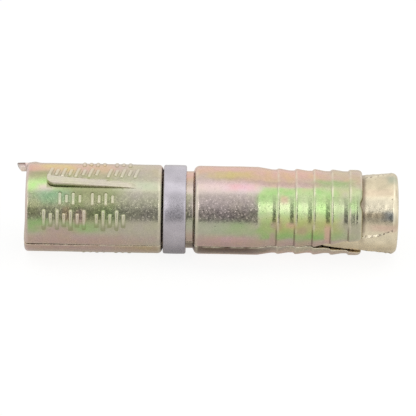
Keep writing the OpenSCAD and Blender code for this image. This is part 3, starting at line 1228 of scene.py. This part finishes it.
    def slit_cutter(self) -> Surface:
        """Builds the prism that opens the wall under the lifted fin.

        Returns:
            The prism in the shield's coordinates.
        """
        end_x, r = self.fin_x1 + 0.2, self.fin_nose_r
        plan = [(self.fin_x0 + r + r * math.cos(t), r - self.slit_w + r * math.sin(t))
                for t in np.linspace(math.pi, 1.5 * math.pi, 9)]
        plan += [(end_x, -self.slit_w), (end_x, 0.1), (self.fin_x0, self.fin_w * self.slit_reach)]
        a = math.radians(self.fin_angle)
        points = [(x, radial * math.sin(a) + side * math.cos(a), radial * math.cos(a) - side * math.sin(a))
                  for radial in (3.2, 6.2) for x, side in plan]
        n = len(plan)
        faces = [tuple(range(n)), tuple(range(2 * n - 1, n - 1, -1))]
        faces += [(i, i + n, (i + 1) % n + n, (i + 1) % n) for i in range(n)]
        return Surface(np.array(points), faces)

    def fin_width(self, x: np.ndarray) -> np.ndarray:
        """Width of the fin from its slit to its hinge line, at places along the axis."""
        return np.interp(x, [self.fin_x0 + self.fin_heel, self.fin_x1], [self.fin_w, self.fin_end_w])

    def fin_bend(self, x: np.ndarray) -> np.ndarray:
        """Angle in radians that the fin is bent up by, which falls to none at its far end.

        Args:
            x: places along the axis, in mm.

        Returns:
            The angle at each of them.
        """
        length = self.fin_x1 - self.fin_x0 - self.fin_heel
        share = np.clip((x - self.fin_x0 - self.fin_heel) / length, 0, 1)
        lift = self.fin_w * math.sin(math.radians(self.fin_turn)) * (1 - share) ** 0.65
        return np.arcsin(lift / self.fin_width(x))

    def fin(self) -> Surface:
        """Builds the lanced fin: a strip that bends up from its hinge line and twists down to it.

        Returns:
            The fin in the shield's coordinates, with its root inside the wall.
        """
        along, side = 90, 22
        r, nose = self.body_r, self.fin_nose_r
        # Distances from the hinge line towards the slit, negative in the root
        shares = np.concatenate([np.linspace(-1, 0, 4)[:-1], np.linspace(0, 1, side) ** 1.15])
        grids = np.zeros((2, len(shares), along, 3))
        for row, share in enumerate(shares):
            slit_gap = (1 - max(share, 0.0)) * self.fin_w
            start = self.fin_x0 + nose - math.sqrt(nose ** 2 - max(nose - slit_gap, 0.0) ** 2)
            start += max(slit_gap - self.fin_w + self.fin_heel, 0.0)
            x = start + (self.fin_x1 + 0.12 - start) * np.linspace(0, 1, along) ** 1.1
            width = self.fin_width(x)
            from_hinge = width * share if share >= 0 else np.full(along, share * self.fin_root)
            hinge = np.radians(self.fin_angle) + np.arcsin(width / r)
            bend = self.fin_bend(x) * smooth_step(from_hinge / 0.3)
            run = r * np.sin(from_hinge / r)
            dip = r * (np.cos(from_hinge / r) - 1)
            # The root, and the far end where the fin runs out, lie just under the sheet's face
            sink = 0.025 * (1 - smooth_step(from_hinge / 0.14))
            sink = np.maximum(sink, 0.03 * smooth_step((x - self.fin_x1 + 0.9) / 0.9))
            lean = from_hinge / r - bend
            thick = self.sheet_t - np.where(from_hinge < 0, 0.1, 0.05)
            for grid, depth in zip(grids, (0.0, thick)):
                tangent = run * np.cos(bend) - dip * np.sin(bend) - depth * np.sin(lean)
                normal = run * np.sin(bend) + dip * np.cos(bend) - sink - depth * np.cos(lean)
                across = (r + normal) * np.sin(hinge) - tangent * np.cos(hinge)
                up = (r + normal) * np.cos(hinge) + tangent * np.sin(hinge)
                grid[row] = np.column_stack([x, across, up])
        return slab(*grids)

    def tab(self) -> Surface:
        """Builds the sheared tab at the screw end, bent very slightly inwards.

        Returns:
            The tab in the shield's coordinates.
        """
        along, around = 20, 26
        slope = math.tan(math.radians(self.tab_slant))
        mid = math.radians((self.tab_from + self.tab_to) / 2)
        root_x = self.edge_round + 0.05
        grids = []
        # The sheared side under the tab leans back, so it faces a little upwards
        for radius, shear in ((self.body_r - 0.01, 0.0), (self.body_r - self.sheet_t + 0.06, self.tab_shear)):
            angles = np.radians(np.linspace(self.tab_from - shear, self.tab_to, around))
            tip = (self.body_r - radius * np.cos(angles - mid)) * slope - self.tab_len
            x = tip + (root_x - tip) * np.linspace(0, 1, along)[:, None]
            low = radius - 0.05 * np.clip(-x, 0, None) ** 1.5
            grids.append(np.dstack([x, low * np.sin(angles), low * np.cos(angles)]))
        return slab(*grids)

    def wear_and_highlight(self, at: Places) -> np.ndarray:
        """How far the film is rubbed off at the edges, and where highlights are painted on the crests and the
        seam's edge.

        Args:
            at: points of the shell.

        Returns:
            0 where the film is whole, up to 1 where it is gone, and as much where a highlight is painted.
        """
        # Painted highlight: the crests' pale lines are strongest between about -55 and 0 degrees, where the
        # light catches them, and gone below -70
        bright = 0.65 + 0.35 * smooth_step((8 - at.angle) / 10)
        bright *= smooth_step((at.angle + 70) / 16)
        # Pale lines at the ends and groove edges: rubbed film that also stands for their painted highlights
        ends = 0.1, self.sleeve_len + 0.1, self.sleeve_len + self.neck_len + 1.06, self.shell_len - 0.1
        lines = [(x, 0.14, 0.6) for x in ends]
        crests = self.barb_x0 + self.barb_pitch * np.arange(self.barb_count) + 0.2
        lines += [(x, 0.11, 0.9 * bright) for x in crests]
        # Painted highlight along the seam's edge, where the edge mirrors the floor
        above_seam = at.radius * np.cos(np.radians(at.angle)) - self.seam_height(at.x)
        wear_and_highlight = 0.8 * bell(np.clip(above_seam, 0, None) / 0.13)
        for x, half_width, amount in lines:
            wear_and_highlight = np.maximum(wear_and_highlight, amount * bell((at.x - x) / half_width))
        outside = smooth_step((at.radius - self.inner_radius(at.x)) / 0.3)
        return wear_and_highlight * outside * np.clip(0.6 + 0.5 * ripple(at.x, at.angle / 12, 1.4, 31), 0, 1)

    def fin_share(self, at: Places, depth: float) -> np.ndarray:
        """Finds the points of the fin down to a depth under its face.

        Args:
            at: points of the shell.
            depth: depth under the fin's raised face, in mm.

        Returns:
            1 on the fin, 0 off it, with a soft change at its far end.
        """
        hinge = self.fin_angle + np.degrees(np.arcsin(self.fin_width(at.x) / self.body_r))
        rise = 0.97 * self.fin_width(at.x) * np.sin(self.fin_bend(at.x))
        share = np.clip((hinge - at.angle) / (hinge + 3.0), 0, 1)
        above = smooth_step((at.radius - self.body_r - rise * share + depth) / 0.08)
        inside = smooth_step((hinge - at.angle) / 2.2) * (at.angle > self.fin_angle - 0.4)
        along = (at.x > self.fin_x0 - 0.02) * (1 - smooth_step((at.x - self.fin_x1 + 1.0) / 1.2))
        return above * inside * along * (0.85 + 0.15 * ripple(at.x / 6, at.angle / 1.2, 1.6, 23))

    def paint(self, piece: Piece, proud: float = 0.0) -> None:
        """Writes each vertex's film colour and pale share, with painted shade and highlights among them.

        Args:
            piece: piece of this shell.
            proud: height of the raised marks, or 0 for the wall itself.
        """
        at = self.layout.read(piece, self.half.value)
        wear_and_highlight = self.wear_and_highlight(at)
        corners = np.zeros_like(at.x)
        if proud:
            # Tops of the raised bars are pale, rubbed and partly a painted highlight; olive at their feet is
            # painted shade
            height = (at.radius - self.body_r) / proud
            wear_and_highlight = 0.6 * smooth_step((height - 0.45) / 0.5)
            corners = 0.7 * (1 - smooth_step((height - 0.1) / 0.5))
        # Painted shade: umber in the hollow foot before each crest, on the lower side of the barbs
        foot = (at.x - self.barb_x0 - 0.03 + self.barb_pitch / 2) % self.barb_pitch - self.barb_pitch / 2
        barb_foot_shade = 0.75 * bell(foot / 0.07) * smooth_step((-50 - at.angle) / 14) * (at.x > self.waist_x2)
        # The tab's sheared side is pale, under a painted shadow in umber along its outer edge
        tab = smooth_step((-0.05 - at.x) / 0.1)
        tab_edge_shade = tab * smooth_step((at.radius - self.body_r + 0.25) / 0.2)
        # Painted shade in olive over the fin's cut faces and underside; its raised face is pearl, rubbed and
        # partly a painted highlight
        write_film_and_painted_light(piece, at, Tint.BEIGE, SHELL_FILM_AND_PAINTED_SHADE, (
            (Tint.BLUSH, tab), (Tint.UMBER, tab_edge_shade), (Tint.UMBER, barb_foot_shade),
            (Tint.OLIVE, self.fin_share(at, 0.9)), (Tint.PEARL, self.fin_share(at, 0.22)),
            (Tint.OLIVE, corners),
        ))
        write_attribute(piece, "wear_and_highlight", wear_and_highlight)

    def build(self, material: bpy.types.Material) -> Piece:
        """Builds the shell and lets it ride on its body.

        Args:
            material: plated finish.

        Returns:
            The finished piece.
        """
        side, turn = self.half.name.lower(), self.half.value
        parts = {"fin": self.fin()}
        if self.half is Half.FRONT:
            parts["tab"] = self.tab()
        wall, cutter = (
            link_object(name, self.layout.place(surface, turn).mesh(name))
            for name, surface in ((f"{side}_shell_plate", self.wall()), ("slit_cutter", self.slit_cutter()))
        )
        cut = wall.modifiers.new("slit", "BOOLEAN")
        cut.operation = "DIFFERENCE"
        cut.solver = "EXACT"
        cut.object = cutter
        bake_modifiers(wall)
        bpy.data.objects.remove(cutter)
        total = Surface.of(wall)
        for name, surface in parts.items():
            extra = link_object(name, self.layout.place(surface, turn).mesh(name))
            bevel = extra.modifiers.new("edge", "BEVEL")
            bevel.width = self.edge_bevel * MM
            bevel.segments = 3
            bevel.limit_method = "ANGLE"
            bevel.angle_limit = math.radians(50)
            total = total.joined(take_surface(extra))
        wall.data = total.mesh(wall.name)
        self.paint(wall)
        finish_mesh(wall, material)
        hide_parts(f"{side}_shell")
        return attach(wall, f"{side}_half")

    def build_marks(self, tree: Tree, material: bpy.types.Material) -> Piece:
        """Builds the raised marks of this shell.

        Args:
            tree: node tree of a row of marks.
            material: plated finish.

        Returns:
            The finished piece.
        """
        marks = RaisedBars(self.layout, self.half, self.body_r)
        name = f"{self.half.name.lower()}_shell_marks"
        piece = link_object(name, marks.build(tree, material).mesh(name))
        self.paint(piece, marks.proud)
        finish_mesh(piece, material)
        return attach(piece, f"{self.half.name.lower()}_half")


@dataclass
class RetainingRing:
    """Moulded ring in the groove, swept round the axis by a node tree."""

    layout: Layout
    x0: float = 14.53
    width: float = 2.4
    bore_r: float = 4.27
    wall: float = 0.41
    edge: float = 0.19
    crown: float = 0.02

    def tree(self) -> Tree:
        """Builds the node tree that sweeps the ring's rounded section round the axis.

        Returns:
            The tree, with a named input for each size.
        """
        tree, known = open_group("swept_ring", (
            "Middle Radius", "Width", "Wall", "Edge", "Crown", "Middle X", "Axis Height",
        ))
        circle = {"Resolution": 224, "Radius": known["Middle Radius"]}
        path = add_node(tree, "GeometryNodeCurvePrimitiveCircle", circle)[0]
        oblong = {"Width": known["Wall"], "Height": known["Width"]}
        section = add_node(tree, "GeometryNodeCurvePrimitiveQuadrilateral", oblong)[0]
        fillet = {"Curve": section, "Radius": known["Edge"], "Count": 6}
        rounded = add_node(tree, "GeometryNodeFilletCurve", fillet, mode="POLY")[0]
        fine = add_node(tree, "GeometryNodeSubdivideCurve", {"Curve": rounded, "Cuts": 2})[0]
        swept = add_node(tree, "GeometryNodeCurveToMesh", {"Curve": path, "Profile Curve": fine})[0]
        position = add_node(tree, "GeometryNodeInputPosition")[0]
        known.update(add_node(tree, "ShaderNodeSeparateXYZ", (position,)).items())
        add_rows(tree, "ShaderNodeMath", "operation", known, (
            ("X Square", "POWER", "X", 2.0),
            ("Y Square", "POWER", "Y", 2.0),
            ("Square", "ADD", "X Square", "Y Square"),
            ("Radius", "SQRT", "Square"),
            # The outside is crowned a little, so the mould lets the ring go
            ("Outside", "GREATER_THAN", "Radius", "Middle Radius"),
            ("Half Width", "MULTIPLY", "Width", 0.5),
            ("Share", "DIVIDE", "Z", "Half Width"),
            ("Off Middle", "ABSOLUTE", "Share"),
            ("Bulge", "POWER", "Off Middle", 2.0),
            ("Fall", "MULTIPLY", "Bulge", "Crown"),
            ("Sink", "MULTIPLY", "Fall", "Outside"),
            ("Crowned", "SUBTRACT", "Radius", "Sink"),
            ("Factor", "DIVIDE", "Crowned", "Radius"),
            # The circle's axis becomes the shield's
            ("Along", "ADD", "Z", "Middle X"),
            ("Across", "MULTIPLY", "X", "Factor"),
            ("Up", "MULTIPLY_ADD", "Y", "Factor", "Axis Height"),
        ))
        on_shield = add_node(tree, "ShaderNodeCombineXYZ", (known["Along"], known["Across"], known["Up"]))[0]
        laid = add_node(tree, "GeometryNodeSetPosition", {"Geometry": swept, "Position": on_shield})[0]
        close_group(tree, laid, known["Material"])
        return tree

    def build(self, material: bpy.types.Material) -> Piece:
        """Builds the ring.

        Args:
            material: moulded finish.

        Returns:
            The finished piece.
        """
        lengths = {
            "Middle Radius": self.bore_r + self.wall / 2, "Width": self.width, "Wall": self.wall,
            "Edge": self.edge, "Crown": self.crown,
            "Middle X": self.x0 + self.width / 2 - self.layout.mid_x, "Axis Height": self.layout.axis_z,
        }
        values = {name: length * MM for name, length in lengths.items()}
        piece = grow("ring_moulding", self.tree(), {**values, "Material": material})
        bake_modifiers(piece)
        finish_mesh(piece, material)
        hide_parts("retaining_ring")
        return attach(piece, "ring")


class Skin(Enum):
    """What a place on the nut's section belongs to."""

    FACE = "face"
    CONE = "cone"
    THREAD = "thread"


@dataclass
class ConeNut:
    """Cast cone nut with two wedge wings and a cut thread."""

    layout: Layout
    x0: float = 27.35
    x1: float = 39.2
    end_dome: float = 0.1
    shell_len: float = 35.35
    cone_r: float = 3.93
    cone_angle: float = 7.0
    wing_r: float = 4.317
    wing_x0: float = 30.51
    wing_angle: float = 12.7
    wing_sink: float = 0.14
    wing_flare: float = 0.2
    draw: float = 2.0
    rim_round: float = 0.6
    rim_trim: float = 0.09
    nose_round: float = 0.12
    minor_r: float = 1.9
    major_r: float = 2.38
    sink: float = 0.45
    pitch: float = 25.4 / 24
    turn: float = -1.6
    flash: float = 0.07
    cast_skin: float = 0.006

    @property
    def rim_x(self) -> float:
        """Where the rim's rounding begins, in mm from the screw end."""
        return self.x1 - self.end_dome - self.rim_round

    def outside(self, x: np.ndarray, angle: np.ndarray, base: np.ndarray) -> np.ndarray:
        """Outside radius of the casting: the cone, the wings on it and the flash beside them.

        Args:
            x: places along the axis, in mm.
            angle: angles round the axis in radians, with the wings at plus and minus a right angle.
            base: radius of the cone or rim at each place.

        Returns:
            The radius at each point.
        """
        height = np.abs(base * np.cos(angle))
        wing = self.wing_r - 0.5 * (1 - smooth_step(x - self.wing_x0))
        wing = wing - self.wing_sink * np.clip((self.x1 - x) / 4, 0, 1) - self.trim(x)
        past = np.clip((x - self.rim_x) / self.rim_round, 0, 1)
        wing = wing - self.rim_round * (1 - np.sqrt(np.clip(1 - past ** 2, 0, 1)))
        share = smooth_step((self.half_width(x) - height) / 0.11 + 0.5)
        radius = base + share * np.clip(wing - base, 0, None)
        across = angle * self.wing_r
        rough = ripple(x, across, 0.55, 5) * 0.5 + 0.5
        outside_shells = smooth_step((x - self.shell_len - 0.1) / 0.5)
        flash = self.flash * rough * self.flash_share(x, angle)
        skin = self.cast_skin * ripple(x, across, 0.9, 17)
        return radius + (flash + skin) * outside_shells * (1 - past)

    def flash_share(self, x: np.ndarray, angle: np.ndarray) -> np.ndarray:
        """Finds the casting's flash lines: beside the wings and where the mould's halves met.

        Args:
            x: places along the axis, in mm.
            angle: angles round the axis in radians.

        Returns:
            1 on a line, 0 off it.
        """
        height = np.abs(self.wing_r * np.cos(angle))
        line = np.radians(29 + 4 * (x - self.shell_len))
        off = (angle - line + math.pi / 2) % math.pi - math.pi / 2
        return np.maximum(bell((height - self.half_width(x)) / 0.09), bell(off * self.wing_r / 0.2))

    def half_width(self, x: np.ndarray) -> np.ndarray:
        """Half the width of a wing, which flares past the length that is drawn into the shells."""
        wedge = (x - self.wing_x0) * math.tan(math.radians(self.wing_angle))
        return wedge + self.wing_flare * np.clip(x - self.shell_len - self.draw, 0, None)

    def trim(self, x: np.ndarray) -> np.ndarray:
        """How much narrower the casting is than its cone, from the shells' mouth to its rim."""
        length = self.x1 - self.rim_round - self.shell_len
        return self.rim_trim * np.clip((x - self.shell_len) / length, 0, 1)

    def profile(self) -> list[tuple[float, float, Skin]]:
        """Line round the casting's section.

        Returns:
            Places of x and radius with the part of the nut that each belongs to.
        """
        slope = math.tan(math.radians(self.cone_angle))
        small_r = self.cone_r - (self.shell_len - self.x0) * slope
        nose, rim, sink_r = self.nose_round, self.rim_round, self.minor_r + self.sink
        line = [(self.x0, small_r - nose, Skin.FACE)]
        line += [(self.x0 + nose * (1 - math.cos(t)), small_r - nose + nose * math.sin(t), Skin.FACE)
                 for t in np.linspace(0.2, math.pi / 2, 4)]
        cone = np.concatenate([np.linspace(self.x0 + 0.2, 30.3, 12), np.linspace(30.4, self.rim_x, 92)])
        line += [(x, small_r + (x - self.x0) * slope - self.trim(x), Skin.CONE) for x in cone]
        top = small_r + (self.rim_x - self.x0) * slope - self.rim_trim
        line += [(self.rim_x + rim * math.sin(t), top - rim * (1 - math.cos(t)), Skin.CONE)
                 for t in np.linspace(0, math.pi / 2, 16)[1:]]
        edge_r = top - rim
        line += [(self.x1 - self.end_dome * ((r - 2.0) / (edge_r - 2.0)) ** 2, r, Skin.FACE)
                 for r in np.linspace(edge_r - 0.1, sink_r + 0.02, 8)]
        line += [(self.x1 - d, sink_r - d, Skin.FACE) for d in np.linspace(0.05, self.sink - 0.05, 4)]
        rows = round((self.x1 - self.x0 - 2 * self.sink) / self.pitch * 10)
        bore = np.linspace(self.x1 - self.sink, self.x0 + self.sink, rows)
        line += [(x, self.minor_r, Skin.THREAD) for x in bore]
        line += [(self.x0 + d, sink_r - d, Skin.FACE) for d in np.linspace(self.sink - 0.05, 0.05, 4)]
        return line + [(self.x0, r, Skin.FACE) for r in np.linspace(sink_r, small_r - 0.3, 3)]

    def surface(self) -> Surface:
        """Builds the casting as a closed grid.

        Returns:
            The nut in the shield's coordinates.
        """
        around = 336
        angle = np.linspace(-math.pi, math.pi, around, endpoint=False)
        rows = []
        for x, radius, skin in self.profile():
            xs = np.full(around, x)
            rs = np.full(around, radius)
            if skin is Skin.CONE:
                rs = self.outside(xs, angle, rs)
            elif skin is Skin.THREAD:
                # Sixty-degree groove that runs out at both ends of the bore
                phase = ((x - self.x0) / self.pitch + angle / (2 * math.pi)) % 1.0
                depth = np.clip(1.12 - np.abs(phase - 0.5) * 2.5, 0, 1)
                runout = min(1.0, (x - self.x0 - self.sink) / 0.4, (self.x1 - self.sink - x) / 0.4)
                rs = rs + (self.major_r - self.minor_r) * depth * max(runout, 0.0)
            rows.append(np.column_stack([xs, rs * np.sin(angle), rs * np.cos(angle)]))
        return Surface(np.concatenate(rows), grid_faces(len(rows), around, True))

    def build(self, material: bpy.types.Material) -> Piece:
        """Builds the nut.

        Args:
            material: cast finish.

        Returns:
            The finished piece.
        """
        name = "cone_nut_casting"
        piece = link_object(name, self.layout.place(self.surface(), self.turn).mesh(name))
        at = self.layout.read(piece)
        # Painted highlight in chalk along the flash lines, with dark pits as flecks beside it
        on_cast = np.radians(at.angle + self.turn)
        outside = (at.x > self.shell_len + 0.3) * (at.x < self.rim_x)
        bright = 0.7 * outside * self.flash_share(at.x, on_cast)
        flecks = outside * smooth_step(2 * ripple(at.x, on_cast * self.wing_r, 0.42, 41) - 0.1)
        flecks *= 0.85 * self.flash_share(at.x - 0.04, on_cast - 0.02)
        write_film_and_painted_light(piece, at, Tint.CHAMPAGNE, NUT_FILM_AND_PAINTED_LIGHT, ((Tint.CHALK, bright), (Tint.UMBER, flecks)))
        finish_mesh(piece, material)
        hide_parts("cone_nut")
        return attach(piece, "nut")


@dataclass
class Studio:
    """Pale floor, soft overhead light, a grey card before the object and the camera."""

    layout: Layout
    elevation: float = 31.2
    distance: float = 0.45
    picture_mm: float = 43.8
    sensor_mm: float = 36.0
    tilt: float = 1.03
    aim_up_mm: float = 0.2
    aim_along_mm: float = 0.07
    light_distance: float = 0.3
    floor_half: float = 4.0

    def toward(self, elevation: float) -> Vector:
        """Unit vector from the object at an elevation, 0 towards -Y and 90 straight up."""
        e = math.radians(elevation)
        return Vector((0, -math.cos(e), math.sin(e)))

    def camera(self) -> None:
        """Sets the camera square to the axis at the picture's viewing angle."""
        data = bpy.data.cameras.new("picture_camera")
        data.sensor_width = self.sensor_mm
        data.lens = self.sensor_mm * self.distance / (self.picture_mm * MM)
        data.clip_start, data.clip_end = 0.01, 20
        back = self.toward(self.elevation)
        turn = (-back).to_track_quat("-Z", "Y") @ Quaternion((0, 0, 1), math.radians(self.tilt))
        aim = Vector((self.aim_along_mm * MM, 0, self.layout.axis_z * MM))
        aim += turn @ Vector((0, self.aim_up_mm * MM, 0))
        camera = link_object("picture_camera", data)
        camera.matrix_world = Matrix.Translation(aim + back * self.distance) @ turn.to_matrix().to_4x4()
        bpy.context.scene.camera = camera

    def paper(self, piece: Piece, name: str) -> Tree:
        """Gives a piece of the stage a new material.

        Args:
            piece: the piece.
            name: name of the material.

        Returns:
            The material's node tree, still empty.
        """
        material = bpy.data.materials.new(name)
        material.use_nodes = True
        material.node_tree.nodes.clear()
        piece.data.materials.append(material)
        return material.node_tree

    def rays(self, tree: Tree) -> tuple[Socket, Socket]:
        """Tells where a ray comes from.

        Args:
            tree: node tree of a material or the surround.

        Returns:
            1 for rays of the camera, and 1 for rays that a mirroring or clear face sends on.
        """
        kinds = add_node(tree, "ShaderNodeLightPath")
        mirrored = add_node(tree, "ShaderNodeMath", (kinds["Is Glossy Ray"], kinds["Is Transmission Ray"]),
                            operation="MAXIMUM")[0]
        return kinds["Is Camera Ray"], mirrored

    def floor(self) -> None:
        """Lays the pale floor, which keeps a faint shadow of the object."""
        half = self.floor_half
        corners = np.array([(-half, -half, 0), (half, -half, 0), (half, half, 0), (-half, half, 0)])
        floor = link_object("floor", Surface(corners, [(0, 1, 2, 3)]).mesh("floor"))
        tree = self.paper(floor, "white_paper")
        # As light the paper is plain, mirrored in metal its shadow is deeper, and the camera sees it white
        looks = []
        for code, glow in (("#E6E6E4", 0.0), ("#D2CEC8", 0.34), ("#7A7A78", 0.88)):
            look = add_node(tree, "ShaderNodeBsdfDiffuse", {"Color": linear(code)})[0]
            if glow:
                shine = add_node(tree, "ShaderNodeEmission", {"Strength": glow})[0]
                look = add_node(tree, "ShaderNodeAddShader", (look, shine))[0]
            looks.append(look)
        plain, deep, white = looks
        seen, mirrored = self.rays(tree)
        inner = add_node(tree, "ShaderNodeMixShader", (mirrored, plain, deep))[0]
        mixed = add_node(tree, "ShaderNodeMixShader", (seen, inner, white))[0]
        add_node(tree, "ShaderNodeOutputMaterial", {"Surface": mixed})

    def lights(self) -> None:
        """Hangs the softbox over the object and a strip light at each side of the card."""
        for name, strength, length, width, elevation, x in (
            ("overhead_softbox", 0.3, 0.7, 0.15, 90.0, 0.0),
            ("left_strip_light", 0.85, 0.06, 0.13, 42.0, -0.075),
            ("right_strip_light", 0.85, 0.06, 0.13, 42.0, 0.09),
        ):
            lamp = bpy.data.lights.new(name, "AREA")
            lamp.shape = "RECTANGLE"
            lamp.size, lamp.size_y = length, width
            lamp.energy = strength * 4 * lamp.size * lamp.size_y
            way = self.toward(elevation)
            spot = Matrix.Translation(way * self.light_distance + Vector((x, 0, 0)))
            stand = link_object(name, lamp)
            stand.matrix_world = spot @ way.to_track_quat("Z", "Y").to_matrix().to_4x4()
            stand.visible_camera = False

    def grey_card(self) -> None:
        """Stands a curved grey card before the object.

        It is what the metal mirrors at the front of a set: bright next to the overhead light,
        darker towards the floor and in its middle, and ended on both sides, so that sloping
        faces mirror the bright surround beyond it.
        """
        side = 46
        rises = np.linspace(0.5, 76.0, side)
        runs = np.linspace(-0.038, 0.05, side)
        levels = [0.16, 0.08, 0.08, 0.17, 0.42, 0.7, 0.88, 0.95]
        glow = np.interp(rises, [0, 12, 19, 31, 45, 59, 72, 76], levels)
        points, strengths = [], []
        for rise, strength in zip(rises, glow):
            way = self.toward(rise) * self.light_distance
            low = smooth_step((34.0 - rise) / 3.0)
            across = np.where(runs < 0, runs * (1 + 0.75 * low), runs)
            points += [(run, way.y, way.z) for run in across]
            aside = np.interp(-across, [0.0, 0.036, 0.044], [0.0, 0.4, 0.12]) * (0.35 + 0.65 * low)
            strengths += list(strength + (1.0 - strength) * aside)
        card = link_object("grey_card", Surface(np.array(points), sheet_faces(side, side)).mesh("grey_card"))
        write_attribute(card, "glow", np.array(strengths))
        tree = self.paper(card, "grey_card_paper")
        lit = add_node(tree, "ShaderNodeAttribute", attribute_name="glow")["Fac"]
        shine = add_node(tree, "ShaderNodeEmission", {"Strength": lit})[0]
        add_node(tree, "ShaderNodeOutputMaterial", {"Surface": shine})
        card.visible_camera = False

    def surround(self) -> None:
        """Sets the even surround, which is white where it is seen and dimmer as a light."""
        world = bpy.data.worlds.new("even_surround")
        bpy.context.scene.world = world
        world.use_nodes = True
        tree = world.node_tree
        tree.nodes.clear()
        shown = add_node(tree, "ShaderNodeMath", self.rays(tree), operation="MAXIMUM")[0]
        strength = add_node(tree, "ShaderNodeMapRange", {"Value": shown, "To Min": 0.62, "To Max": 1.0})[0]
        sky = add_node(tree, "ShaderNodeBackground", {"Color": linear("#FFFFFF"), "Strength": strength})[0]
        add_node(tree, "ShaderNodeOutputWorld", {"Surface": sky})

    def build(self) -> None:
        """Sets the whole stage."""
        self.camera()
        self.floor()
        self.lights()
        self.grey_card()
        self.surround()
        bpy.context.scene.view_settings.view_transform = "Standard"


def main() -> None:
    """Builds the shield's pieces in order."""
    logging.basicConfig(level=logging.INFO, format="%(name)s: %(message)s")
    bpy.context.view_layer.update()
    layout = Layout.from_frame(HalfShell.shell_len)
    LOG.info("layout %s", layout)
    Studio(layout).build()
    plate = YellowZinc().make()
    marks_tree = RaisedBars(layout, Half.FRONT, HalfShell.body_r).tree()
    pieces = []
    for half in Half:
        shell = HalfShell(layout, half)
        pieces += [shell.build(plate), shell.build_marks(marks_tree, plate)]
    pieces.append(RetainingRing(layout).build(MouldedNylon().make()))
    pieces.append(ConeNut(layout).build(CastZinc().make()))
    for piece in pieces:
        LOG.info("%s: %d faces", piece.name, len(piece.data.polygons))


if __name__ == "__main__":
    main()
